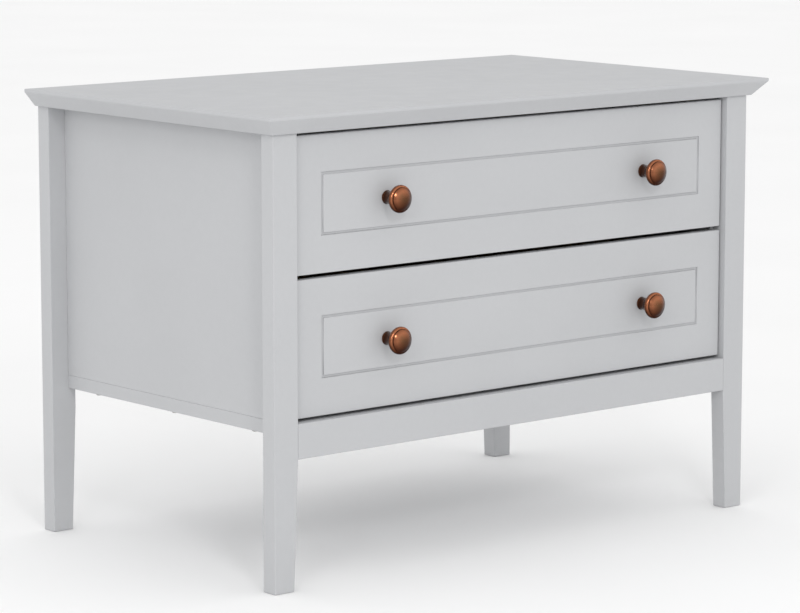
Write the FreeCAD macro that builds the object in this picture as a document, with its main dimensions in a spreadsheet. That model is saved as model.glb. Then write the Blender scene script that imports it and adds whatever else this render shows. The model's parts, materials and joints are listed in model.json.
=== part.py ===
import FreeCAD, Part
import math
import os
import re
import Sketcher

# Nightstand with two drawers: a painted frame of four tapered legs and two rails, side panels set in
# from the legs, a moulded top, and two drawer boxes on telescopic steel slides. Millimetres. +X runs to
# the right along the front, +Y to the back, +Z up. The origin is on the floor, under the middle of the
# whole piece, knobs included.

# ------------------------------------------------------------------------------------------------
# Driving sizes, one cell of the sheet each
# ------------------------------------------------------------------------------------------------

SIZES = {
    # frame: legs and rails
    "frame_width": 700,
    "frame_depth": 424,
    "overall_height": 505,
    "leg_width": 32,
    "leg_foot_width": 26,
    "leg_thickness": 20,
    "rail_bottom": 141,
    "rail_height": 38,
    # moulded top
    "top_thickness": 20,
    "top_overhang": 18,
    "top_nose": 3.5,
    "top_lip": 4,
    # panels of the case
    "panel_thickness": 15,
    "panel_lap": 10,
    "bottom_thickness": 15,
    "back_thickness": 4,
    "back_setback": 12,
    "groove_depth": 5,
    "panel_play": 0.5,
    "cleat_size": 18,
    "cleat_setback": 20,
    # drawer fronts and the gaps around them
    "front_thickness": 12,
    "front_stop_gap": 0.5,
    "side_gap": 2,
    "bottom_gap": 3.5,
    "middle_gap": 4.75,
    "top_gap": 3.75,
    "line_side_margin": 36,
    "line_end_margin": 40,
    "line_width": 3,
    "line_depth": 2,
    # drawer boxes
    "box_thickness": 12,
    "box_rise": 16,
    "box_drop": 21.75,
    "box_back_room": 18.5,
    "drawer_bottom_thickness": 4,
    "drawer_bottom_rise": 10,
    # telescopic slides
    "slide_thickness": 13,
    "slide_height": 45,
    "slide_gauge": 1.2,
    "slide_lip": 2,
    "slide_play": 0.7,
    "slide_setback": 2,
    "slide_web_gap": 1.4,
    "slide_case_room": 3.4,
    "slide_short": 5,
    "slide_screw_inset": 37,
    # knobs
    "knob_spacing": 380,
    "knob_projection": 30,
    "knob_diameter": 30,
    "knob_base_diameter": 15,
    "knob_base_height": 1.6,
    "knob_waist_radius": 20,
    "knob_neck_diameter": 19,
    "knob_neck_height": 14,
    "knob_rim_height": 19,
    "knob_rim_thickness": 5.4,
    "knob_step": 1.2,
    "knob_grip": 8,
    "knob_bore_play": 2,
    # dowels
    "dowel_diameter": 6,
    "dowel_play": 0.1,
    "dowel_end_play": 1,
    "frame_dowel_length": 30,
    "frame_dowel_sink": 12,
    "box_dowel_length": 24,
    "box_dowel_sink": 8,
    "rail_dowel_inset": 10,
    "panel_dowel_inset": 40,
    "box_dowel_inset": 30,
    # screws
    "screw_play": 0.1,
    "case_screw_diameter": 4,
    "case_screw_length": 29,
    "slide_screw_diameter": 3.5,
    "slide_screw_head": 1,
    "slide_screw_skin": 1.2,
    "front_screw_diameter": 3.5,
    "front_screw_grip": 8,
    "knob_screw_diameter": 4,
    "screw_head_height": 2.2,
    "screw_head_ratio": 2,
    "case_screw_inset": 50,
    "cleat_top_screw_inset": 40,
    "cleat_side_screw_inset": 20,
    "front_screw_inset": 40,
    "front_screw_from_bottom": 20,
    "front_screw_from_top": 12,
}

# Sizes and places that follow from them, each an expression in the names above and below
DERIVED = {
    "front_recess": "leg_thickness - front_thickness - front_stop_gap",
    "front_reach": "max(top_overhang; knob_projection - front_recess)",
    "frame_half": "frame_width / 2",
    "frame_front": "(front_reach - frame_depth) / 2",
    "frame_back": "(front_reach + frame_depth) / 2",
    "case_front": "frame_front + leg_thickness",
    "case_back": "frame_back - leg_thickness",
    "opening_half": "frame_half - leg_width",
    "rail_top": "rail_bottom + rail_height",
    "top_under": "overall_height - top_thickness",
    "case_height": "top_under - rail_top",
    # case panels
    "panel_outer": "opening_half + panel_lap",
    "panel_inner": "panel_outer - panel_thickness",
    "panel_middle": "(panel_outer + panel_inner) / 2",
    "panel_dowel_x": "opening_half + panel_lap / 2",
    "bottom_under": "rail_top - bottom_thickness",
    "bottom_middle": "rail_top - bottom_thickness / 2",
    "back_rail_top": "bottom_under + rail_height",
    "back_panel_back": "case_back - back_setback",
    "back_panel_front": "back_panel_back - back_thickness",
    "cleat_inner": "panel_inner - cleat_size",
    "cleat_under": "top_under - cleat_size",
    "cleat_front": "case_front + cleat_setback",
    "cleat_back": "back_panel_front - cleat_setback",
    # drawer fronts
    "face_y": "frame_front + front_recess",
    "front_back": "face_y + front_thickness",
    "front_half": "opening_half - side_gap",
    "front_height": "(case_height - bottom_gap - middle_gap - top_gap) / 2",
    "lower_drawer": "rail_top + bottom_gap",
    "upper_drawer": "lower_drawer + front_height + middle_gap",
    "knob_half": "knob_spacing / 2",
    "dome_foot": "knob_diameter / 2 - knob_step",
    "dome_base": "knob_rim_height + knob_rim_thickness + knob_step / 2",
    "dome_rise": "knob_projection - dome_base",
    "dome_radius": "(dome_foot ^ 2 + dome_rise ^ 2) / (2 * dome_rise)",
    # drawer boxes
    "box_half": "panel_inner - slide_thickness",
    "box_inner": "box_half - box_thickness",
    "box_height": "front_height - box_rise - box_drop",
    "box_back": "back_panel_front - box_back_room",
    "box_front_inner": "front_back + box_thickness",
    "box_back_inner": "box_back - box_thickness",
    # slides: distances across are counted from the side panel towards the drawer
    "slide_front": "case_front + slide_setback",
    "slide_back": "box_back",
    "outer_half": "slide_height / 2",
    "middle_half": "outer_half - slide_gauge - slide_lip - slide_play",
    "inner_half": "middle_half - slide_gauge - slide_lip - slide_play",
    "outer_tip": "slide_thickness - slide_case_room",
    "middle_web": "slide_gauge + slide_web_gap",
    "middle_tip": "slide_thickness - slide_gauge - slide_web_gap",
    "inner_tip": "middle_web + slide_gauge + slide_web_gap",
    # holes and screws
    "dowel_hole": "dowel_diameter + dowel_play",
    "slide_screw_length": "slide_gauge + box_thickness - slide_screw_skin",
    "front_screw_length": "box_thickness + front_screw_grip",
    "knob_screw_length": "box_thickness + front_thickness + knob_grip",
    "knob_thread_depth": "knob_grip + knob_bore_play",
}


def in_cells(text):
    """Spell an expression out in the sheet's cells, opening up every derived name."""
    def cell(match):
        word = match.group(0)
        if word in DERIVED:
            return "(" + in_cells(DERIVED[word]) + ")"
        if word in SIZES:
            return "Dims." + word
        return word
    return re.sub(r"[A-Za-z_]\w*", cell, text)


def value(text):
    """The number that an expression comes to."""
    return float(sheet.evalExpression(in_cells(text)))


def bind(item, prop, text):
    """Tie a property to an expression in the sheet's cells."""
    item.setExpression(prop, in_cells(text))


def place(item, corner):
    """Put an item's own origin at three expressions in the nightstand's frame."""
    for axis, text in zip("xyz", corner):
        bind(item, "Placement.Base." + axis, text)


# ------------------------------------------------------------------------------------------------
# Sketches and the features made from them
# ------------------------------------------------------------------------------------------------

class Piece:
    """A body and the place of its own origin in the nightstand's frame."""

    def __init__(self, label, corner):
        self.body = doc.addObject("PartDesign::Body", label)
        self.body.Label = label
        self.corner = corner
        place(self.body, corner)

    def local(self, axis, text):
        """An expression in the nightstand's frame, counted from this piece's own origin."""
        return f"({text}) - ({self.corner['XYZ'.index(axis)]})"


def new_sketch(piece, plane, offset):
    """A sketch on one of the body's own origin planes, moved along the plane's normal."""
    support = [item for item in piece.body.Origin.OriginFeatures if item.Role == plane][0]
    sketch = piece.body.newObject("Sketcher::SketchObject", piece.body.Label + "_sketch")
    sketch.AttachmentSupport = (support, [""])
    sketch.MapMode = "FlatFace"
    bind(sketch, "AttachmentOffset.Base.z", offset)
    return sketch


def pin(sketch, geometry, point, corner):
    """Tie one point of a sketch to its two expressions."""
    for kind, text in zip(("DistanceX", "DistanceY"), corner):
        constraint = Sketcher.Constraint(kind, -1, 1, geometry, point, value(text))
        bind(sketch, f"Constraints[{sketch.addConstraint(constraint)}]", text)


def arc_between(start, end, radius):
    """The short arc between two points; a positive radius bulges to the right of start to end."""
    chord = end - start
    across = FreeCAD.Vector(chord.y, -chord.x, 0).normalize()
    rise = abs(radius) - math.sqrt(radius ** 2 - (chord.Length / 2) ** 2)
    crest = (start + end) / 2 + across * math.copysign(rise, radius)
    return Part.Arc(start, crest, end)


def outline(sketch, corners):
    """A closed outline. A corner is (x, y), or (x, y, radius) where an arc leads on to the next."""
    points = [FreeCAD.Vector(value(corner[0]), value(corner[1]), 0) for corner in corners]
    first = sketch.GeometryCount
    starts = []
    for number, corner in enumerate(corners):
        here, there = points[number], points[(number + 1) % len(points)]
        if len(corner) == 3:
            index = sketch.addGeometry(arc_between(here, there, value(corner[2])), False)
            radius = Sketcher.Constraint("Radius", index, abs(value(corner[2])))
            bind(sketch, f"Constraints[{sketch.addConstraint(radius)}]", f"abs({corner[2]})")
        else:
            index = sketch.addGeometry(Part.LineSegment(here, there), False)
        drawn_from, drawn_to = sketch.getPoint(index, 1), sketch.getPoint(index, 2)
        starts.append(1 if (drawn_from - here).Length < (drawn_to - here).Length else 2)
    for number, corner in enumerate(corners):
        after = (number + 1) % len(corners)
        sketch.addConstraint(Sketcher.Constraint(
            "Coincident", first + number, 3 - starts[number], first + after, starts[after]))
        pin(sketch, first + number, starts[number], corner[:2])


def rectangle(sketch, low, high):
    """A rectangle between two corners."""
    outline(sketch, [(low[0], low[1]), (high[0], low[1]), (high[0], high[1]), (low[0], high[1])])


def circles(sketch, centres, diameter):
    """Equal circles."""
    for centre in centres:
        middle = FreeCAD.Vector(value(centre[0]), value(centre[1]), 0)
        circle = Part.Circle(middle, FreeCAD.Vector(0, 0, 1), value(diameter) / 2)
        index = sketch.addGeometry(circle, False)
        pin(sketch, index, 3, centre)
        constraint = Sketcher.Constraint("Diameter", index, value(diameter))
        bind(sketch, f"Constraints[{sketch.addConstraint(constraint)}]", diameter)


def pad(piece, sketch, length, against_normal=False):
    """Thicken a sketch into wood or metal."""
    feature = piece.body.newObject("PartDesign::Pad", piece.body.Label + "_pad")
    feature.Profile = sketch
    feature.Reversed = against_normal
    bind(feature, "Length", length)
    piece.body.Tip = feature
    return feature


# The way a cut goes: its sketch plane, the sign of that plane's offset, the axes it is drawn in, and
# whether the cut follows the plane's normal
CUTS = {
    "+X": ("YZ_Plane", "", "YZ", True),
    "-X": ("YZ_Plane", "", "YZ", False),
    "+Y": ("XZ_Plane", "-", "XZ", False),
    "-Y": ("XZ_Plane", "-", "XZ", True),
    "+Z": ("XY_Plane", "", "XY", True),
    "-Z": ("XY_Plane", "", "XY", False),
}
OPPOSITE_SIGN = {"+": "-", "-": "+"}
OPPOSITE = {"+X": "-X", "-X": "+X", "+Y": "-Y", "-Y": "+Y", "+Z": "-Z", "-Z": "+Z"}
HEADINGS = {
    "+X": (1, 0, 0), "-X": (-1, 0, 0),
    "+Y": (0, 1, 0), "-Y": (0, -1, 0),
    "+Z": (0, 0, 1), "-Z": (0, 0, -1),
}


def cut(piece, way, start, depth, draw):
    """Cut a pocket from the plane at start; draw(sketch, local) draws it in the piece's own axes."""
    plane, sign, axes, along_normal = CUTS[way]
    sketch = new_sketch(piece, plane, f"{sign}({piece.local(way[1], start)})")
    draw(sketch, lambda point: tuple(piece.local(axis, text) for axis, text in zip(axes, point)))
    pocket = piece.body.newObject("PartDesign::Pocket", piece.body.Label + "_pocket")
    pocket.Profile = sketch
    pocket.Reversed = along_normal
    bind(pocket, "Length", depth)
    piece.body.Tip = pocket
    return pocket


def drill(piece, way, start, centres, diameter, depth):
    """Round holes, all the same, from one plane."""
    def draw(sketch, local):
        circles(sketch, [local(centre) for centre in centres], diameter)
    cut(piece, way, start, depth, draw)


def groove(piece, way, start, low, high, depth):
    """A straight groove with a square bottom."""
    cut(piece, way, start, depth, lambda sketch, local: rectangle(sketch, local(low), local(high)))


def board(label, low, high):
    """A rectangular board between two corners of the nightstand's frame."""
    piece = Piece(label, low)
    sketch = new_sketch(piece, "XY_Plane", "0")
    rectangle(sketch, ("0", "0"), (piece.local("X", high[0]), piece.local("Y", high[1])))
    pad(piece, sketch, piece.local("Z", high[2]))
    return piece


# ------------------------------------------------------------------------------------------------
# Dowels and screws: one pattern of each kind, copied to its places
# ------------------------------------------------------------------------------------------------

def turned(label, profile):
    """A round pattern piece about its own Z axis, from its outline as (radius, height) corners."""
    piece = Piece(label, ("0", "0", "0"))
    sketch = new_sketch(piece, "XZ_Plane", "0")
    outline(sketch, profile)
    revolution = piece.body.newObject("PartDesign::Revolution", label + "_revolution")
    revolution.Profile = sketch
    revolution.ReferenceAxis = (sketch, ["V_Axis"])
    revolution.Angle = 360
    piece.body.Tip = revolution
    return piece


def dowel(label, length):
    """A dowel with bevelled ends, starting at its own origin."""
    radius = "dowel_diameter / 2"
    bevel = "dowel_diameter / 8"
    return turned(label, [
        ("0", "0"), (f"{radius} - {bevel}", "0"), (radius, bevel), (radius, f"{length} - {bevel}"),
        (f"{radius} - {bevel}", length), ("0", length)])


def screw(label, diameter, length, head="screw_head_height"):
    """A pan-head screw, its head seated at its own origin and its point along +Z."""
    shank = f"{diameter} / 2"
    rim = f"{shank} * screw_head_ratio"
    return turned(label, [
        ("0", f"-{head}"), (f"{rim} - {head} / 2", f"-{head}"), (rim, f"-{head} / 2"), (rim, "0"),
        (shank, "0"), (shank, f"{length} - {diameter} / 2"), (f"{shank} / 2", length), ("0", length)])


def copies(label, pattern, places):
    """One node of identical separate pieces. A place is the way it points and its own origin."""
    links = []
    for way, corner in places:
        link = doc.addObject("App::Link", label + "_copy")
        link.LinkedObject = pattern.body
        turn = FreeCAD.Rotation(FreeCAD.Vector(0, 0, 1), FreeCAD.Vector(*HEADINGS[way]))
        link.Placement = FreeCAD.Placement(FreeCAD.Vector(), turn)
        place(link, corner)
        links.append(link)
    group = doc.addObject("Part::Compound", label)
    group.Label = label
    group.Links = links
    nodes.append(group)


def at(way, start, centre):
    """The point of the nightstand's frame that has centre in the plane across way at start."""
    point = list(centre)
    point.insert("XYZ".index(way[1]), start)
    return tuple(point)


def back_off(way, start, distance):
    """The place that is a distance before start, going that way."""
    return f"({start}) {'-' if way[0] == '+' else '+'} ({distance})"


def dowel_joint(places, first, second, way, plane, centres, sink, length):
    """Blind holes in two boards that meet at a plane, and a dowel in each: way runs first to second."""
    drill(first, OPPOSITE[way], plane, centres, "dowel_hole", f"{sink} + dowel_end_play")
    drill(second, way, plane, centres, "dowel_hole", f"{length} - {sink} + dowel_end_play")
    for centre in centres:
        places.append((way, at(way, back_off(way, plane, sink), centre)))


def screw_joint(places, through, into, way, seat, plane, centres, diameter, length):
    """Screws seated on one board, through it to the plane where it meets the next, and into that."""
    thickness = f"abs(({plane}) - ({seat}))"
    drill(through, way, seat, centres, f"{diameter} + screw_play", thickness)
    drill(into, way, plane, centres, f"{diameter} + screw_play", f"{length} - {thickness} + dowel_end_play")
    for centre in centres:
        places.append((way, at(way, seat, centre)))


# ------------------------------------------------------------------------------------------------
# Frame, case and top
# ------------------------------------------------------------------------------------------------

SIDES = (("left", "-"), ("right", "+"))
ENDS = (("front", "frame_front"), ("back", "case_back"))
RAIL_HEIGHTS = {"front": ("rail_bottom", "rail_top"), "back": ("bottom_under", "back_rail_top")}


def leg(label, sign, y):
    """A flat leg: straight outside, its inner edge drawn in below the rail."""
    piece = Piece(label, (f"{sign} frame_half", y, "0"))
    inward = "+" if sign == "-" else "-"
    sketch = new_sketch(piece, "XZ_Plane", "0")
    outline(sketch, [
        ("0", "0"), (f"{inward} leg_foot_width", "0"), (f"{inward} leg_width", "rail_bottom"),
        (f"{inward} leg_width", "top_under"), ("0", "top_under")])
    pad(piece, sketch, "leg_thickness", against_normal=True)
    return piece


def rail(label, y, heights):
    """A rail between two legs, from its lower to its upper height."""
    return board(label, ("-opening_half", y, heights[0]),
                 ("opening_half", f"{y} + leg_thickness", heights[1]))


def side_panel(label, sign):
    """A side panel between a front and a back leg, grooved for the back panel."""
    faces = ("-panel_outer", "-panel_inner") if sign == "-" else ("panel_inner", "panel_outer")
    panel = board(label, (faces[0], "case_front", "rail_top"), (faces[1], "case_back", "top_under"))
    groove(panel, sign + "X", f"{sign} panel_inner", ("back_panel_front", "rail_top"),
           ("back_panel_back", "top_under"), "groove_depth")
    return panel


def bottom_panel():
    """The case's floor, between the rails and under the side panels, grooved for the back panel."""
    panel = board("bottom_panel", ("-panel_outer", "case_front", "bottom_under"),
                  ("panel_outer", "case_back", "rail_top"))
    groove(panel, "-Z", "rail_top", ("-panel_inner - groove_depth", "back_panel_front"),
           ("panel_inner + groove_depth", "back_panel_back"), "groove_depth")
    return panel


def back_panel():
    """A thin panel let into grooves on all four sides."""
    reach = "groove_depth - panel_play"
    return board("back_panel", (f"-panel_inner - ({reach})", "back_panel_front", f"rail_top - ({reach})"),
                 (f"panel_inner + {reach}", "back_panel_back", f"top_under + {reach}"))


def top_board():
    """The top: an upright nose, then a broad bevel down and in at the front and the sides."""
    piece = Piece("top_board", ("0", "0", "top_under"))
    lower = new_sketch(piece, "XY_Plane", "0")
    rectangle(lower, ("-frame_half - top_lip", "frame_front - top_lip"),
              ("frame_half + top_lip", "frame_back"))
    upper = new_sketch(piece, "XY_Plane", "top_thickness - top_nose")
    rectangle(upper, ("-frame_half - top_overhang", "frame_front - top_overhang"),
              ("frame_half + top_overhang", "frame_back"))
    bevel = piece.body.newObject("PartDesign::AdditiveLoft", "top_board_bevel")
    bevel.Profile = lower
    bevel.Sections = [upper]
    bevel.Ruled = True
    pad(piece, upper, "top_nose")
    groove(piece, "+Z", "top_under", ("-panel_inner - groove_depth", "back_panel_front"),
           ("panel_inner + groove_depth", "back_panel_back"), "groove_depth")
    return piece


def top_cleat(label, sign):
    """A square cleat in the corner between a side panel and the top."""
    across = ("-panel_inner", "-cleat_inner") if sign == "-" else ("cleat_inner", "panel_inner")
    return board(label, (across[0], "cleat_front", "cleat_under"), (across[1], "cleat_back", "top_under"))


def along(start, end, inset):
    """Three places along a length: near both ends and in the middle."""
    return [f"{start} + {inset}", f"({start} + {end}) / 2", f"{end} - {inset}"]


def build_case():
    """The standing part of the nightstand. Returns its two side panels by side."""
    legs = {(end, side): leg(f"{end}_{side}_leg", sign, y) for end, y in ENDS for side, sign in SIDES}
    rails = {end: rail(f"{end}_rail", y, RAIL_HEIGHTS[end]) for end, y in ENDS}
    panels = {side: side_panel(f"{side}_side_panel", sign) for side, sign in SIDES}
    bottom = bottom_panel()
    back = back_panel()
    top = top_board()
    cleats = {side: top_cleat(f"{side}_top_cleat", sign) for side, sign in SIDES}

    dowels = []
    case_screws = {"bottom": [], "cleat": []}
    case_way = {"front": "+Y", "back": "-Y"}
    case_plane = {"front": "case_front", "back": "case_back"}
    inward_way = {"left": "+X", "right": "-X"}
    for end, y in ENDS:
        rail_low, rail_high = RAIL_HEIGHTS[end]
        for side, sign in SIDES:
            rail_heights = (f"{rail_low} + rail_dowel_inset", f"{rail_high} - rail_dowel_inset")
            dowel_joint(dowels, legs[end, side], rails[end], inward_way[side], f"{sign} opening_half",
                        [(f"{y} + leg_thickness / 2", height) for height in rail_heights],
                        "frame_dowel_sink", "frame_dowel_length")
            panel_heights = along("rail_top", "top_under", "panel_dowel_inset")
            dowel_joint(dowels, legs[end, side], panels[side], case_way[end], case_plane[end],
                        [(f"{sign} panel_dowel_x", height) for height in panel_heights],
                        "frame_dowel_sink", "frame_dowel_length")
        dowel_joint(dowels, rails[end], bottom, case_way[end], case_plane[end],
                    [(x, "bottom_middle") for x in ("-knob_half", "0", "knob_half")],
                    "frame_dowel_sink", "frame_dowel_length")
    for side, sign in SIDES:
        screw_joint(case_screws["bottom"], bottom, panels[side], "+Z", "bottom_under", "rail_top",
                    [(f"{sign} panel_middle", y)
                     for y in along("case_front", "case_back", "case_screw_inset")],
                    "case_screw_diameter", "case_screw_length")
        screw_joint(case_screws["cleat"], cleats[side], top, "+Z", "cleat_under", "top_under",
                    [(f"{sign} (cleat_inner + cleat_size / 2)", y)
                     for y in along("cleat_front", "cleat_back", "cleat_top_screw_inset")],
                    "case_screw_diameter", "case_screw_length")
        screw_joint(case_screws["cleat"], cleats[side], panels[side], sign + "X",
                    f"{sign} cleat_inner", f"{sign} panel_inner",
                    [(y, "cleat_under + cleat_size / 2")
                     for y in along("cleat_front", "cleat_back", "cleat_side_screw_inset")],
                    "case_screw_diameter", "case_screw_length")
    nodes.extend(piece.body for piece in [*legs.values(), *rails.values(), *panels.values()])
    nodes.extend(piece.body for piece in [bottom, back, top, *cleats.values()])
    copies("frame_dowels", dowel("frame_dowel", "frame_dowel_length"), dowels)
    case_screw = screw("case_screw", "case_screw_diameter", "case_screw_length")
    copies("bottom_panel_screws", case_screw, case_screws["bottom"])
    copies("cleat_screws", case_screw, case_screws["cleat"])
    return panels


# ------------------------------------------------------------------------------------------------
# Drawers
# ------------------------------------------------------------------------------------------------

def drawer_front(label, z):
    """The painted front, with a line routed in a rectangle about its middle."""
    front = board(label, ("-front_half", "face_y", z), ("front_half", "front_back", f"{z} + front_height"))

    def line(sketch, local):
        for inset in ("0", "line_width"):
            side, end = f"line_side_margin + {inset}", f"line_end_margin + {inset}"
            low = (f"-front_half + {side}", f"{z} + {end}")
            high = (f"front_half - ({side})", f"{z} + front_height - ({end})")
            rectangle(sketch, local(low), local(high))

    cut(front, "+Y", "face_y", "line_depth", line)
    return front


def drawer_box(name, z):
    """The four boards of a box, grooved for its bottom, and the bottom itself."""
    low, high = f"{z} + box_rise", f"{z} + box_rise + box_height"
    groove_low = f"{low} + drawer_bottom_rise"
    groove_high = f"{groove_low} + drawer_bottom_thickness"
    reach = "groove_depth - panel_play"
    box = {
        "front": board(f"{name}_box_front", ("-box_inner", "front_back", low),
                       ("box_inner", "box_front_inner", high)),
        "back": board(f"{name}_box_back", ("-box_inner", "box_back_inner", low),
                      ("box_inner", "box_back", high)),
        "left": board(f"{name}_box_left_side", ("-box_half", "front_back", low),
                      ("-box_inner", "box_back", high)),
        "right": board(f"{name}_box_right_side", ("box_inner", "front_back", low),
                       ("box_half", "box_back", high)),
    }
    across = (("-box_inner", groove_low), ("box_inner", groove_high))
    groove(box["front"], "-Y", "box_front_inner", *across, "groove_depth")
    groove(box["back"], "+Y", "box_back_inner", *across, "groove_depth")
    for side, sign in SIDES:
        groove(box[side], sign + "X", f"{sign} box_inner", ("box_front_inner - groove_depth", groove_low),
               ("box_back_inner + groove_depth", groove_high), "groove_depth")
    box["bottom"] = board(f"{name}_box_bottom",
                          (f"-box_inner - ({reach})", f"box_front_inner - ({reach})", groove_low),
                          (f"box_inner + {reach}", f"box_back_inner + {reach}", groove_high))
    return box


def knob(label, x, z):
    """A turned knob: round foot, hollow waist, flared neck, rim and low dome, bored for its screw."""
    piece = Piece(label, (x, "face_y", z))
    rim, foot, neck = "knob_diameter / 2", "knob_base_diameter / 2", "knob_neck_diameter / 2"
    bore = "knob_screw_diameter / 2 + screw_play / 2"
    rim_front = "knob_rim_height + knob_rim_thickness"
    sketch = new_sketch(piece, "XY_Plane", "0")
    outline(sketch, [
        (bore, "0"), (foot, "0"), (foot, "-knob_base_height", "knob_waist_radius"),
        (neck, "-knob_neck_height"), (rim, "-knob_rim_height"), (rim, f"-({rim_front})"),
        ("dome_foot", "-dome_base", "-dome_radius"),
        ("0", "-knob_projection"), ("0", "-knob_thread_depth"), (bore, "-knob_thread_depth")])
    revolution = piece.body.newObject("PartDesign::Revolution", label + "_revolution")
    revolution.Profile = sketch
    revolution.ReferenceAxis = (sketch, ["V_Axis"])
    revolution.Angle = 360
    piece.body.Tip = revolution
    return piece


def slide_member(label, side, z, web, tip, half, front, back):
    """A rolled steel channel with turned lips, from its web to the tips of its flanges.

    web and tip are counted from the side panel towards the drawer, half is half its height, and front
    and back are its ends.
    """
    from_web = side if web == "slide_thickness" else OPPOSITE_SIGN[side]
    from_tip = OPPOSITE_SIGN[from_web]
    piece = Piece(label, ("0", front, z))
    outer_web = f"{side} (panel_inner - ({web}))"
    outer_tip = f"{side} (panel_inner - ({tip}))"
    inner_web = f"{outer_web} {from_web} slide_gauge"
    inner_tip = f"{outer_tip} {from_tip} slide_gauge"
    lip = f"{half} - slide_gauge - slide_lip"
    upper = [(outer_web, half), (outer_tip, half), (outer_tip, lip), (inner_tip, lip),
             (inner_tip, f"{half} - slide_gauge"), (inner_web, f"{half} - slide_gauge")]
    lower = [(x, f"-({height})") for x, height in reversed(upper)]
    sketch = new_sketch(piece, "XZ_Plane", "0")
    outline(sketch, upper + lower)
    pad(piece, sketch, f"({back}) - ({front})", against_normal=True)
    return piece


def build_slides(name, z, panels, box):
    """A pair of telescopic slides: a member on the case, one between, and one on the box."""
    middle = f"{z} + box_rise + box_height / 2"
    screw_places = [(y, middle) for y in along("slide_front", "slide_back", "slide_screw_inset")]
    case_screws, box_screws = [], []
    for side, sign in SIDES:
        outer = slide_member(f"{name}_{side}_slide_outer", sign, middle, "0", "outer_tip",
                             "outer_half", "slide_front", "slide_back")
        between = slide_member(f"{name}_{side}_slide_middle", sign, middle, "middle_web", "middle_tip",
                               "middle_half", "slide_front + slide_short", "slide_back - slide_short")
        inner = slide_member(f"{name}_{side}_slide_inner", sign, middle, "slide_thickness", "inner_tip",
                             "inner_half", "slide_front", "slide_back")
        screw_joint(case_screws, outer, panels[side], sign + "X", f"{sign} (panel_inner - slide_gauge)",
                    f"{sign} panel_inner", screw_places, "slide_screw_diameter", "slide_screw_length")
        screw_joint(box_screws, inner, box[side], OPPOSITE[sign + "X"], f"{sign} (box_half + slide_gauge)",
                    f"{sign} box_half", screw_places, "slide_screw_diameter", "slide_screw_length")
        nodes.extend(piece.body for piece in (outer, between, inner))
    copies(f"{name}_slide_case_screws", slide_screw, case_screws)
    copies(f"{name}_slide_box_screws", slide_screw, box_screws)


def build_drawer(name, z, panels):
    """One drawer at the height of its front's lower edge: front, box, knobs, slides, fastenings."""
    front = drawer_front(f"{name}_drawer_front", z)
    box = drawer_box(name, z)
    knob_height = f"{z} + front_height / 2"
    knobs = [knob(f"{name}_{side}_knob", f"{sign} knob_half", knob_height) for side, sign in SIDES]

    dowels = []
    heights = (f"{z} + box_rise + box_dowel_inset", f"{z} + box_rise + box_height - box_dowel_inset")
    depths = {"front": "front_back + box_thickness / 2", "back": "box_back - box_thickness / 2"}
    for side, sign in SIDES:
        for end, y in depths.items():
            dowel_joint(dowels, box[side], box[end], OPPOSITE[sign + "X"], f"{sign} box_inner",
                        [(y, height) for height in heights], "box_dowel_sink", "box_dowel_length")

    front_screws = []
    edges = (f"{z} + box_rise + front_screw_from_bottom",
             f"{z} + box_rise + box_height - front_screw_from_top")
    corners = [(f"{sign} (box_inner - front_screw_inset)", edge) for side, sign in SIDES for edge in edges]
    screw_joint(front_screws, box["front"], front, "-Y", "box_front_inner", "front_back", corners,
                "front_screw_diameter", "front_screw_length")

    knob_centres = [(f"{sign} knob_half", knob_height) for side, sign in SIDES]
    through = "knob_screw_diameter + screw_play"
    drill(box["front"], "-Y", "box_front_inner", knob_centres, through, "box_thickness")
    drill(front, "-Y", "front_back", knob_centres, through, "front_thickness")

    nodes.extend(piece.body for piece in [front, *box.values(), *knobs])
    copies(f"{name}_box_dowels", box_dowel, dowels)
    copies(f"{name}_front_screws", front_screw, front_screws)
    copies(f"{name}_knob_screws", knob_screw,
           [("-Y", at("-Y", "box_front_inner", centre)) for centre in knob_centres])
    build_slides(name, z, panels, box)


# ------------------------------------------------------------------------------------------------
# The document
# ------------------------------------------------------------------------------------------------

def fill_sheet():
    """One plain number and its name to a row."""
    for row, (name, number) in enumerate(SIZES.items(), start=1):
        sheet.set(f"A{row}", name)
        sheet.set(f"B{row}", str(number))
        sheet.setAlias(f"B{row}", name)
    doc.recompute()


def check_document():
    """Stop if anything failed to compute, is not a valid solid, or is a cut that took nothing away."""
    for item in doc.Objects:
        if {"Invalid", "Error"} & set(item.State):
            raise RuntimeError(f"{item.Label} failed to compute")
        if item.TypeId == "PartDesign::Pocket":
            taken = item.BaseFeature.Shape.Volume - item.Shape.Volume
            if taken <= 0.001:
                raise RuntimeError(f"{item.Label} cuts nothing")
    for node in nodes:
        if node.Shape.isNull() or not node.Shape.isValid() or not node.Shape.Solids:
            raise RuntimeError(f"{node.Label} is not a valid solid")


doc = FreeCAD.newDocument("nightstand")
sheet = doc.addObject("Spreadsheet::Sheet", "Dims")
nodes = []
fill_sheet()

box_dowel = dowel("box_dowel", "box_dowel_length")
front_screw = screw("front_screw", "front_screw_diameter", "front_screw_length")
slide_screw = screw("slide_screw", "slide_screw_diameter", "slide_screw_length", "slide_screw_head")
knob_screw = screw("knob_screw", "knob_screw_diameter", "knob_screw_length")

side_panels = build_case()
build_drawer("upper", "upper_drawer", side_panels)
build_drawer("lower", "lower_drawer", side_panels)

doc.recompute()
check_document()
os.makedirs("parts", exist_ok=True)
for node in nodes:
    node.Shape.exportStep(f"parts/{node.Label}.step")
    print(f"{node.Label}: {len(node.Shape.Solids)} solid(s), {node.Shape.Volume / 1000:.1f} cm3")
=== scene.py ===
import json
import math

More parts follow.
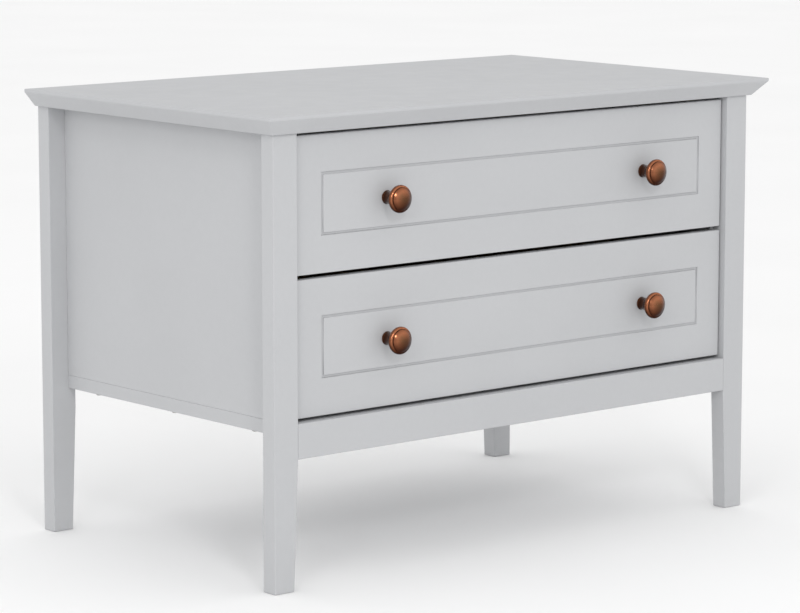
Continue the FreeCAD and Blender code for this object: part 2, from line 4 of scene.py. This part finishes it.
import bmesh
import bpy
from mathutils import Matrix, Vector

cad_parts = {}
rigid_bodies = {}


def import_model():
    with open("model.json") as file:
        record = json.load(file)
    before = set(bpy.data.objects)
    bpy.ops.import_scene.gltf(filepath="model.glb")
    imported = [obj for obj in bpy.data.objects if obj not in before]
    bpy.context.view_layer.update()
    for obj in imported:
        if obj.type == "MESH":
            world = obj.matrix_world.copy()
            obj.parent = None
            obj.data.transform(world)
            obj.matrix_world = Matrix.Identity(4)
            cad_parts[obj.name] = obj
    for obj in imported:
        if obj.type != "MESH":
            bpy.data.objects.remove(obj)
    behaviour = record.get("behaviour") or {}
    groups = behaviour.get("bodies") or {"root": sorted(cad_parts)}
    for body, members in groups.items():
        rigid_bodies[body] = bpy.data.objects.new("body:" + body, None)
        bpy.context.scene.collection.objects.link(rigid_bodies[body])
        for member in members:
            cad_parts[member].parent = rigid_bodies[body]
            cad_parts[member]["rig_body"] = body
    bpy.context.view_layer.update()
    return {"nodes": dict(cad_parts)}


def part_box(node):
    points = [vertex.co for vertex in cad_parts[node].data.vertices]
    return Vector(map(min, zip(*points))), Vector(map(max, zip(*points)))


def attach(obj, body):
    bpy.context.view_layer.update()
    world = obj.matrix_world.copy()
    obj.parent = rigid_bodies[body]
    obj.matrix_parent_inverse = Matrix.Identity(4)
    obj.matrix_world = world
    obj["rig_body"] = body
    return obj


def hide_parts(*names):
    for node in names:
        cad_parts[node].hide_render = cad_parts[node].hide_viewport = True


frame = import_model()

MM = 0.001
SIDES = ("left", "right")
DRAWERS = ("upper", "lower")
LEGS = ("front_left_leg", "front_right_leg", "back_left_leg", "back_right_leg")

# ------------------------------------------------------------------------------------------------
# Looks. Colours are linear light; a pair of roughnesses is that of the glossiest and dullest spots
# ------------------------------------------------------------------------------------------------

PAINT_DARK = (0.484, 0.490, 0.502)
PAINT_LIGHT = (0.504, 0.510, 0.522)
PAINT_ROUGHNESS = (0.52, 0.64)
PEEL_DEPTH = 0.05 * MM
WAVE_DEPTH = 0.1 * MM

COPPER_RED = (0.56, 0.21, 0.105)
COPPER_BROWN = (0.38, 0.20, 0.10)
# Dark patina for the hollows, also painted on as shade at the knobs' lower right
PATINA_AND_SHADE = (0.040, 0.012, 0.006)
COPPER_ROUGHNESS = (0.14, 0.26)
HAMMER_DEPTH = 0.04 * MM

# How far the copper is rubbed bare and how far painted shade keeps it dark, as stops of (place,
# bareness), both from 0 to 1.
# Across: from the knob's axis to its rim, with the dark cove at 0.835
WORN_ACROSS = ((0.2, 0.7), (0.6, 0.85), (0.8, 0.5), (0.835, 0.02), (0.89, 0.95), (1.0, 0.55))
# Outward: from its foot to the top of its dome
WORN_OUTWARD = ((0.0, 0.1), (0.03, 0.35), (0.14, 0.12), (0.4, 0.3), (0.62, 0.2), (0.72, 1.0))
# Upward: from its lower to its upper edge. This is painted shade, not wear: the copper is kept dark at
# the lower edge and bright at the upper edge, as a painted highlight
PAINTED_SHADE_UPWARD = ((0.2, 0.0), (0.5, 0.38), (0.8, 1.0))
# The painted shade leans so that the lower right is darkest and the upper left brightest
PAINTED_SHADE_LEAN = 0.5
WORN_RAGGED = 2.5 * MM
WORN_SPECKLED = 0.3

BOX_WOOD = {"light": (0.70, 0.54, 0.36), "dark": (0.52, 0.36, 0.21), "roughness": 0.38}
BOTTOM_WOOD = {"light": (0.66, 0.52, 0.36), "dark": (0.50, 0.37, 0.23), "roughness": 0.45, "figure": 5.0}
PINE = {"light": (0.66, 0.48, 0.27), "dark": (0.48, 0.30, 0.14), "roughness": 0.6, "figure": 14.0}
BEECH = {"light": (0.58, 0.40, 0.25), "dark": (0.44, 0.28, 0.16), "roughness": 0.6, "figure": 30.0}
GRAIN_STRETCH = 0.09
RING_COUNT = 9.0
PORE_SCALE = 520
PORE_STRETCH = 0.03
PORE_DULLING = 0.12
PORE_DEPTH = 0.1 * MM

SLIDE_ZINC = (0.66, 0.67, 0.68)
SLIDE_DULLING = 0.72
SCREW_ZINC = (0.60, 0.59, 0.56)
SCREW_DULLING = 0.6
STEEL_ROUGHNESS = (0.24, 0.42)
ROLLED_SCALE = 1400
ROLLED_STRETCH = 0.02
SCRATCH_DEPTH = 0.02 * MM

FLOOR_DARK = (0.94, 0.94, 0.94)
FLOOR_LIGHT = (0.96, 0.96, 0.96)
FLOOR_ROUGHNESS = 0.8

# ------------------------------------------------------------------------------------------------
# Shapes
# ------------------------------------------------------------------------------------------------

SHARP = math.radians(20)
SAME_LEVEL = 0.01 * MM
EASE_SEGMENTS = 4
LEG_EASE = 1.0 * MM
TOP_EASE = 0.9 * MM
FRONT_EASE = 1.0 * MM
PANEL_EASE = 0.6 * MM
THIN_EASE = 0.3 * MM
BOX_EASE = 0.8 * MM
TOP_NOSE = 3.5 * MM

LINE_WIDTH = 3.0 * MM
LINE_DEPTH = 2.0 * MM
LINE_LIP = 0.35 * MM
LINE_ROUND = 1.0 * MM
LINE_STEPS = 4
LINE_SIDE_MARGIN = 36 * MM
LINE_END_MARGIN = 40 * MM

# The knob's outline in millimetres. Its arcs are (centre, radius, start and end in degrees, steps), and
# a centre is (distance from the axis, distance out from the drawer)
FOOT_RADIUS = 7.1
FOOT_EDGE = ((7.0, 0.6), 0.5, -60, 60, 4)
WAIST_RADIUS = 7.15
WAIST_DIP = 0.3
WAIST_START = 1.3
WAIST_LENGTH = 6.0
WAIST_STEPS = 12
FLARE_RADIUS = 7.2
FLARE_GROWTH = 4.6
FLARE_BEND = 1.8
FLARE_START = 7.6
FLARE_LENGTH = 8.9
FLARE_STEPS = 14
UNDERSIDE = ((11.4, 20.2), 2.8, -68, -30, 6)
INNER_RIM = ((12.7, 21.2), 2.3, -28, 0, 5)
OUTER_RIM = ((12.7, 22.2), 2.3, 0, 78, 10)
COVE = ((13.0, 24.85), 0.6, 240, 130, 6)
DOME_RADIUS_AT_EDGE = 12.6
DOME_START = 25.3
DOME_APEX = 30.0
DOME_STEPS = 24
ON_AXIS = 0.001

# The whole knob
KNOB_SEGMENTS = 96
KNOB_RADIUS = 15 * MM
KNOB_LENGTH = DOME_APEX * MM

# ------------------------------------------------------------------------------------------------
# Studio: places and sizes in metres, power in watts, angles in degrees, lens and sensor in millimetres
# ------------------------------------------------------------------------------------------------

FLOOR_HALF_WIDTH = 60
FLOOR_LEVEL = -0.2 * MM
SURROUND = 0.98
KEY_LIGHT = {"place": (-3.0, -2.1, 1.6), "aim": (0, 0, 0.3), "size": 0.9, "power": 14}
SPARK_LIGHT = {"place": (-1.6, -3.0, 2.0), "aim": (0, -0.2, 0.35), "size": 0.5, "power": 17}
CAMERA_PLACE = (-2.530, -2.957, 0.848)
CAMERA_HEADING = 40.474
CAMERA_DOWN = 8.758
CAMERA_LENS = 154.4
CAMERA_SENSOR = 36
CAMERA_REACH = 200


# ------------------------------------------------------------------------------------------------
# Materials
# ------------------------------------------------------------------------------------------------

class Surface:
    """A material being made: short calls for the few nodes that every finish here uses."""

    def __init__(self, name, **settings):
        self.material = bpy.data.materials.new(name)
        self.material.use_nodes = True
        self.nodes = self.material.node_tree.nodes
        self.links = self.material.node_tree.links
        self.shader = self.nodes["Principled BSDF"]
        for setting, value in settings.items():
            self.shader.inputs[setting.replace("_", " ")].default_value = value
        self.coordinates = self.nodes.new("ShaderNodeTexCoord").outputs["Object"]

    def node(self, kind, inputs, **options):
        """A node with its inputs set or linked, and its options set."""
        node = self.nodes.new(kind)
        for option, value in options.items():
            setattr(node, option, value)
        for key, value in inputs.items():
            if isinstance(value, bpy.types.NodeSocket):
                self.links.new(value, node.inputs[key])
            else:
                node.inputs[key].default_value = value
        return node

    def noise(self, scale, stretch=(1, 1, 1), detail=4.0, distortion=0.0, shift=(0, 0, 0)):
        """Noise with scale features to the metre, drawn out along the axes where stretch is small."""
        mapping = self.node("ShaderNodeMapping", {
            "Vector": self.coordinates, "Scale": stretch, "Location": shift})
        noise = self.node("ShaderNodeTexNoise", {
            "Vector": mapping.outputs["Vector"], "Scale": scale, "Detail": detail,
            "Distortion": distortion})
        return noise.outputs["Fac"]

    def math(self, operation, first, second=0.5, third=0.5):
        """A calculation with up to three sockets or numbers."""
        inputs = {0: first, 1: second, 2: third}
        return self.node("ShaderNodeMath", inputs, operation=operation).outputs[0]

    def ramp(self, factor, *stops):
        """Grey levels or colours at places from 0 to 1."""
        ramp = self.node("ShaderNodeValToRGB", {"Fac": factor})
        elements = ramp.color_ramp.elements
        while len(elements) < len(stops):
            elements.new(0.5)
        for element, (place, level) in zip(elements, stops):
            element.position = place
            element.color = (*level, 1) if isinstance(level, tuple) else (level, level, level, 1)
        return ramp.outputs["Color"]

    def between(self, noise, low, high, start=0.3, end=0.7):
        """From one grey level or colour to another over the range that a noise mostly has."""
        return self.ramp(noise, (start, low), (end, high))

    def mix(self, factor, first, second, blend="MIX"):
        """Two colours mixed, each of them and the factor a socket or a value."""
        mix = self.node("ShaderNodeMix", {}, data_type="RGBA", blend_type=blend)
        sockets = (mix.inputs["Factor"], mix.inputs[6], mix.inputs[7])
        for socket, value in zip(sockets, (factor, first, second)):
            if isinstance(value, bpy.types.NodeSocket):
                self.links.new(value, socket)
            else:
                socket.default_value = value if isinstance(value, float) else (*value, 1)
        return mix.outputs[2]

    def bump(self, height, depth, under=None):
        """A bump of a depth in metres over another bump."""
        inputs = {"Height": height, "Distance": depth, "Strength": 1.0}
        if under is not None:
            inputs["Normal"] = under
        return self.node("ShaderNodeBump", inputs).outputs["Normal"]

    def set(self, **sockets):
        """Link sockets into the shader."""
        for key, socket in sockets.items():
            self.links.new(socket, self.shader.inputs[key.replace("_", " ")])
        return self.material


def drawn_out(along, scale):
    """A stretch that draws a noise out along one axis."""
    return tuple(scale if axis == along else 1.0 for axis in "XYZ")


def grey_paint():
    """Sprayed satin paint: a faint orange peel, slow drifts of tone, and gloss that is not quite even."""
    surface = Surface("grey_paint", Specular_IOR_Level=0.2)
    drift = surface.noise(scale=7, detail=2.0)
    mottle = surface.noise(scale=160, detail=5.0, shift=(3, 1, 2))
    colour = surface.between(surface.mix(0.35, drift, mottle), PAINT_DARK, PAINT_LIGHT)
    patches = surface.noise(scale=38, detail=6.0, shift=(5, 4, 0))
    gloss = surface.between(patches, *PAINT_ROUGHNESS)
    peel = surface.bump(surface.noise(scale=520, detail=2.0), PEEL_DEPTH)
    wave = surface.bump(surface.noise(scale=70, detail=1.0, shift=(1, 7, 3)), WAVE_DEPTH, peel)
    return surface.set(Base_Color=colour, Roughness=gloss, Normal=wave)


def knob_wear_and_shade(surface, cloud, speckle):
    """How far a knob is rubbed bare, with painted shade on its lower right, and how far from its axis,
    both from 0 to 1.

    The wear and the painted shade follow the knob's own shape, so both are measured from the knob's own
    origin.
    """
    own = surface.node("ShaderNodeSeparateXYZ", {"Vector": surface.coordinates}).outputs
    flat = surface.node("ShaderNodeCombineXYZ", {"X": own["X"], "Y": own["Z"]}).outputs["Vector"]
    radius = surface.node("ShaderNodeVectorMath", {0: flat}, operation="LENGTH").outputs["Value"]
    ragged = surface.math("MULTIPLY", surface.math("SUBTRACT", cloud, 0.5), WORN_RAGGED)
    across = surface.math("DIVIDE", surface.math("ADD", radius, ragged), KNOB_RADIUS)
    outward = surface.math("DIVIDE", own["Y"], -KNOB_LENGTH)
    # Painted shade and painted highlight: darker towards the lower right, brighter towards the upper left
    shade_leaning = surface.math("SUBTRACT", own["Z"], surface.math("MULTIPLY", own["X"], PAINTED_SHADE_LEAN))
    shade_upward = surface.math("MULTIPLY_ADD", shade_leaning, 0.5 / KNOB_RADIUS)
    wear_and_shade = surface.ramp(across, *WORN_ACROSS)
    for place, stops in ((outward, WORN_OUTWARD), (shade_upward, PAINTED_SHADE_UPWARD)):
        wear_and_shade = surface.mix(1.0, wear_and_shade, surface.ramp(place, *stops), "MULTIPLY")
    return surface.mix(WORN_SPECKLED, wear_and_shade, speckle, "MULTIPLY"), across


def antique_copper():
    """Copper plate, darkened and rubbed back: bright where a hand wears it, nearly black in hollows, with
    painted shade darkening its lower right and a painted highlight at its upper left.
    """
    surface = Surface("antique_copper", Metallic=1.0)
    cloud = surface.noise(scale=120, detail=5.0, distortion=0.4)
    speckle = surface.noise(scale=900, detail=6.0, shift=(2, 0, 5))
    wear_and_shade, across = knob_wear_and_shade(surface, cloud, speckle)
    clouded = surface.math("ADD", across, surface.math("MULTIPLY", cloud, 0.5))
    browned = surface.ramp(clouded, (0.3, 1.0), (0.9, 0.0))
    copper = surface.mix(browned, COPPER_RED, COPPER_BROWN)
    # The patina colour also stands in for shade where the painted shade ramp is low
    colour = surface.mix(wear_and_shade, PATINA_AND_SHADE, copper)
    gloss = surface.between(speckle, *COPPER_ROUGHNESS, start=0.25, end=0.75)
    hammered = surface.bump(surface.noise(scale=420, detail=3.0), HAMMER_DEPTH)
    return surface.set(Base_Color=colour, Roughness=gloss, Normal=hammered)


def wood(name, along, light, dark, roughness, figure=9.0):
    """Sawn and sanded wood, its grain along one axis: growth rings, pores and a satin or bare face.

    The figure is the number of growth features to the metre across the grain.
    """
    surface = Surface(name, Specular_IOR_Level=0.4)
    grain = drawn_out(along, GRAIN_STRETCH)
    growth = surface.noise(figure, grain, detail=3.0, distortion=0.8)
    rings = surface.math("PINGPONG", surface.math("MULTIPLY", growth, RING_COUNT), 1.0)
    pores = surface.noise(PORE_SCALE, drawn_out(along, PORE_STRETCH), detail=4.0)
    colour = surface.between(surface.mix(0.4, rings, pores), dark, light, start=0.2, end=0.75)
    drift = surface.between(surface.noise(4, grain, detail=1.0, shift=(8, 2, 6)), 0.86, 1.0)
    colour = surface.mix(1.0, colour, drift, "MULTIPLY")
    sheen = surface.between(pores, roughness + PORE_DULLING, roughness)
    pitted = surface.bump(pores, PORE_DEPTH)
    return surface.set(Base_Color=colour, Roughness=sheen, Normal=pitted)


def rolled_steel(name, colour, along, dulling):
    """Zinc-plated steel with rolling lines along one axis and cloudy passivation."""
    surface = Surface(name, Metallic=1.0)
    lines = surface.noise(ROLLED_SCALE, drawn_out(along, ROLLED_STRETCH), detail=3.0)
    cloud = surface.noise(scale=45, detail=5.0, distortion=0.6)
    dull = tuple(part * dulling for part in colour)
    tone = surface.between(surface.mix(0.5, lines, cloud), dull, colour, start=0.35, end=0.65)
    gloss = surface.between(cloud, *STEEL_ROUGHNESS)
    scratched = surface.bump(lines, SCRATCH_DEPTH)
    return surface.set(Base_Color=tone, Roughness=gloss, Normal=scratched)


def floor_surface():
    """Pale seamless studio floor."""
    surface = Surface("studio_floor", Specular_IOR_Level=0.2, Roughness=FLOOR_ROUGHNESS)
    colour = surface.between(surface.noise(scale=2, detail=3.0), FLOOR_DARK, FLOOR_LIGHT)
    return surface.set(Base_Color=colour)


# ------------------------------------------------------------------------------------------------
# Boards: every visible one is built again with eased edges
# ------------------------------------------------------------------------------------------------

def smooth_mesh(name, bm, location=(0, 0, 0)):
    """A smooth-shaded object from a bmesh."""
    bmesh.ops.recalc_face_normals(bm, faces=bm.faces)
    mesh = bpy.data.meshes.new(name)
    bm.to_mesh(mesh)
    bm.free()
    mesh.shade_smooth()
    piece = bpy.data.objects.new(name, mesh)
    piece.location = location
    bpy.context.scene.collection.objects.link(piece)
    return piece


def ease_edges(piece, width):
    """Sand the weighted edges round, and keep the flats flat."""
    bevel = piece.modifiers.new("eased edges", "BEVEL")
    bevel.limit_method = "WEIGHT"
    bevel.width = width
    bevel.segments = EASE_SEGMENTS
    bevel.harden_normals = True


def stacked(name, loops, ease, eased_loops=None):
    """A solid through a stack of four-cornered loops, closed at both ends.

    The edges of the first eased_loops loops, or of all, are sanded round where they turn a corner.
    """
    bm = bmesh.new()
    weights = bm.edges.layers.float.new("bevel_weight_edge")
    rings = [[bm.verts.new(corner) for corner in loop] for loop in loops]
    for low, high in zip(rings, rings[1:]):
        for number in range(4):
            after = (number + 1) % 4
            bm.faces.new((low[number], low[after], high[after], high[number]))
    bm.faces.new(rings[0])
    bm.faces.new(rings[-1])
    bmesh.ops.recalc_face_normals(bm, faces=bm.faces)
    sanded = {corner for ring in rings[:eased_loops] for corner in ring}
    for edge in bm.edges:
        if edge.calc_face_angle() > SHARP and sanded.issuperset(edge.verts):
            edge[weights] = 1.0
    piece = smooth_mesh(name, bm)
    ease_edges(piece, ease)
    return piece


def rectangle(axis, level, low, high):
    """The corners of a rectangle across an axis: low and high are its two other coordinates."""
    corners = [(low[0], low[1]), (high[0], low[1]), (high[0], high[1]), (low[0], high[1])]
    return [Vector(corner[:axis] + (level,) + corner[axis:]) for corner in corners]


def cad_level(node, z):
    """The rectangle that a CAD node fills at one height, from its own corners there."""
    corners = [v.co for v in frame["nodes"][node].data.vertices if abs(v.co.z - z) < SAME_LEVEL]
    low = (min(c.x for c in corners), min(c.y for c in corners))
    high = (max(c.x for c in corners), max(c.y for c in corners))
    return rectangle(2, z, low, high)


def stand_in(piece, node, material):
    """Let a piece take the place of a CAD node, on the same body."""
    piece.data.materials.append(material)
    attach(piece, frame["nodes"][node]["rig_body"])
    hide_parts(node)


def plain_board(node, material, ease):
    """A rectangular board with eased edges."""
    low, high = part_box(node)
    loops = [rectangle(2, z, low[:2], high[:2]) for z in (low.z, high.z)]
    stand_in(stacked(node + "_piece", loops, ease), node, material)


def leg(node, material):
    """A leg: straight above the front rail's lower edge, its inner edge drawn in below."""
    low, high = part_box(node)
    foot = cad_level(node, low.z)
    upper = cad_level(node, high.z)
    knee = [Vector((corner.x, corner.y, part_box("front_rail")[0].z)) for corner in upper]
    stand_in(stacked(node + "_piece", [foot, knee, upper], LEG_EASE), node, material)


def top_board(material):
    """The top: a broad bevel under an upright nose on three sides."""
    low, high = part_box("top_board")
    upper = cad_level("top_board", high.z)
    nose = [Vector((corner.x, corner.y, high.z - TOP_NOSE)) for corner in upper]
    loops = [cad_level("top_board", low.z), nose, upper]
    stand_in(stacked("top_board_piece", loops, TOP_EASE), "top_board", material)


def line_profile():
    """Across the routed line, from outside in: (inset from its outer edge, depth below the face)."""
    turns = [math.pi / 2 * step / LINE_STEPS for step in range(LINE_STEPS + 1)]
    lip = [(LINE_LIP * math.sin(turn) - LINE_LIP, LINE_LIP - LINE_LIP * math.cos(turn))
           for turn in turns]
    wall = LINE_DEPTH - LINE_ROUND
    bottom = [(LINE_ROUND - LINE_ROUND * math.cos(turn), wall + LINE_ROUND * math.sin(turn))
              for turn in turns]
    outer_half = lip + bottom
    return outer_half + [(LINE_WIDTH - inset, depth) for inset, depth in reversed(outer_half)]


def drawer_front(drawer, material):
    """A drawer front with its routed rectangle."""
    node = drawer + "_drawer_front"
    low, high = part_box(node)
    loops = [rectangle(1, y, (low.x, low.z), (high.x, high.z)) for y in (high.y, low.y)]
    for inset, depth in line_profile():
        side = LINE_SIDE_MARGIN + inset
        end = LINE_END_MARGIN + inset
        corners = (low.x + side, low.z + end), (high.x - side, high.z - end)
        loops.append(rectangle(1, low.y + depth, *corners))
    stand_in(stacked(node + "_piece", loops, FRONT_EASE, 2), node, material)


# ------------------------------------------------------------------------------------------------
# Knobs
# ------------------------------------------------------------------------------------------------

def arc(centre, radius, start, end, steps):
    """Points along an arc, by its angles in degrees: 0 points away from the axis, 90 outward."""
    turns = [math.radians(start + (end - start) * step / steps) for step in range(steps + 1)]
    return [(centre[0] + radius * math.cos(turn), centre[1] + radius * math.sin(turn))
            for turn in turns]


def knob_stem():
    """The outline of the stem: a flat foot with a rounded edge, a slight waist and a flare."""
    foot = [(0.0, 0.0), (FOOT_RADIUS, 0.0), *arc(*FOOT_EDGE)]
    waist = []
    for step in range(WAIST_STEPS + 1):
        dip = WAIST_DIP * math.sin(math.pi * step / WAIST_STEPS)
        waist.append((WAIST_RADIUS - dip, WAIST_START + WAIST_LENGTH * step / WAIST_STEPS))
    flare = []
    for step in range(FLARE_STEPS + 1):
        growth = FLARE_GROWTH * (step / FLARE_STEPS) ** FLARE_BEND
        flare.append((FLARE_RADIUS + growth, FLARE_START + FLARE_LENGTH * step / FLARE_STEPS))
    return foot + waist + flare


def knob_head():
    """The outline of the head: its underside, an upright rim, a small cove and a low dome."""
    edge = arc(*UNDERSIDE) + arc(*INNER_RIM) + arc(*OUTER_RIM) + arc(*COVE)
    rise = DOME_APEX - DOME_START
    dome_radius = (DOME_RADIUS_AT_EDGE ** 2 + rise ** 2) / (2 * rise)
    half_angle = math.degrees(math.asin(DOME_RADIUS_AT_EDGE / dome_radius))
    dome_centre = (0.0, DOME_APEX - dome_radius)
    dome = arc(dome_centre, dome_radius, 90 - half_angle, 90, DOME_STEPS)
    return edge + dome


def turned(outline):
    """A bmesh turned about its own Y axis from an outline that starts and ends on the axis."""
    bm = bmesh.new()
    turns = [2 * math.pi * step / KNOB_SEGMENTS for step in range(KNOB_SEGMENTS)]
    rings = []
    for radius, out in outline:
        if radius < ON_AXIS:
            rings.append([bm.verts.new((0, -out * MM, 0))])
            continue
        rings.append([
            bm.verts.new((radius * math.cos(turn) * MM, -out * MM, radius * math.sin(turn) * MM))
            for turn in turns])
    for inner, outer in zip(rings, rings[1:]):
        for number in range(KNOB_SEGMENTS):
            after = (number + 1) % KNOB_SEGMENTS
            corners = [inner[number % len(inner)], inner[after % len(inner)],
                       outer[after % len(outer)], outer[number % len(outer)]]
            bm.faces.new(sorted(set(corners), key=corners.index))
    return bm


def knob(node, material):
    """A turned knob, its own origin on the drawer's face."""
    low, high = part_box(node)
    origin = Vector(((low.x + high.x) / 2, high.y, (low.z + high.z) / 2))
    piece = smooth_mesh(node + "_piece", turned(knob_stem() + knob_head()), origin)
    stand_in(piece, node, material)


# ------------------------------------------------------------------------------------------------
# The pieces of the nightstand
# ------------------------------------------------------------------------------------------------

def cabinet_pieces(paint):
    """The standing part: legs, rails, panels, top and the cleats that hold it."""
    pine = wood("bare_pine", "Y", **PINE)
    for name in LEGS:
        leg(name, paint)
    for name in ("front_rail", "back_rail"):
        plain_board(name, paint, LEG_EASE)
    for name in ("left_side_panel", "right_side_panel", "bottom_panel"):
        plain_board(name, paint, PANEL_EASE)
    plain_board("back_panel", paint, THIN_EASE)
    top_board(paint)
    for side in SIDES:
        plain_board(side + "_top_cleat", pine, BOX_EASE)


def drawer_pieces(paint):
    """Both drawers: the painted front, the wooden box behind it, and two knobs."""
    copper = antique_copper()
    box_across = wood("drawer_wood_across", "X", **BOX_WOOD)
    box_deep = wood("drawer_wood_deep", "Y", **BOX_WOOD)
    box_bottom = wood("drawer_bottom_board", "X", **BOTTOM_WOOD)
    for drawer in DRAWERS:
        drawer_front(drawer, paint)
        for end in ("front", "back"):
            plain_board(f"{drawer}_box_{end}", box_across, BOX_EASE)
        for side in SIDES:
            plain_board(f"{drawer}_box_{side}_side", box_deep, BOX_EASE)
            knob(f"{drawer}_{side}_knob", copper)
        plain_board(f"{drawer}_box_bottom", box_bottom, THIN_EASE)


def dress_cad_nodes():
    """Materials for the nodes that no piece stands in for: dowels, screws and slides."""
    beech = wood("beech", "Y", **BEECH)
    slide_steel = rolled_steel("zinc_steel", SLIDE_ZINC, "Y", SLIDE_DULLING)
    screw_steel = rolled_steel("screw_steel", SCREW_ZINC, "Z", SCREW_DULLING)
    for name, node in frame["nodes"].items():
        if node.hide_render:
            continue
        node.data.materials.clear()
        if "dowels" in name:
            node.data.materials.append(beech)
        elif "screws" in name:
            node.data.materials.append(screw_steel)
        else:
            node.data.materials.append(slide_steel)


# ------------------------------------------------------------------------------------------------
# Studio: floor, light and camera
# ------------------------------------------------------------------------------------------------

def studio_floor():
    """A wide pale floor under the feet."""
    bm = bmesh.new()
    bmesh.ops.create_grid(bm, x_segments=1, y_segments=1, size=FLOOR_HALF_WIDTH)
    floor = smooth_mesh("studio_floor", bm, (0, 0, FLOOR_LEVEL))
    floor.data.materials.append(floor_surface())


def soft_box(name, place, aim, size, power):
    """A square soft box at a place, turned to face a point."""
    light = bpy.data.lights.new(name, "AREA")
    light.size = size
    light.energy = power
    box = bpy.data.objects.new(name, light)
    box.location = place
    box.rotation_euler = (Vector(aim) - Vector(place)).to_track_quat("-Z", "Y").to_euler()
    bpy.context.scene.collection.objects.link(box)


def studio_light():
    """An even white surround, a soft key from the left, and a smaller light for the knobs' glints."""
    world = bpy.data.worlds.new("surround")
    bpy.context.scene.world = world
    world.use_nodes = True
    background = world.node_tree.nodes["Background"]
    background.inputs["Color"].default_value = (1, 1, 1, 1)
    background.inputs["Strength"].default_value = SURROUND
    soft_box("key", **KEY_LIGHT)
    soft_box("spark", **SPARK_LIGHT)


def camera():
    """The camera stands low in front of the left corner and looks slightly down."""
    data = bpy.data.cameras.new("camera")
    data.sensor_width = CAMERA_SENSOR
    data.lens = CAMERA_LENS
    data.clip_end = CAMERA_REACH
    stand = bpy.data.objects.new("camera", data)
    stand.location = CAMERA_PLACE
    stand.rotation_euler = (math.radians(90 - CAMERA_DOWN), 0, math.radians(-CAMERA_HEADING))
    bpy.context.scene.collection.objects.link(stand)
    bpy.context.scene.camera = stand


grey = grey_paint()
cabinet_pieces(grey)
drawer_pieces(grey)
dress_cad_nodes()
studio_floor()
studio_light()
camera()
bpy.context.scene.view_settings.view_transform = "Standard"
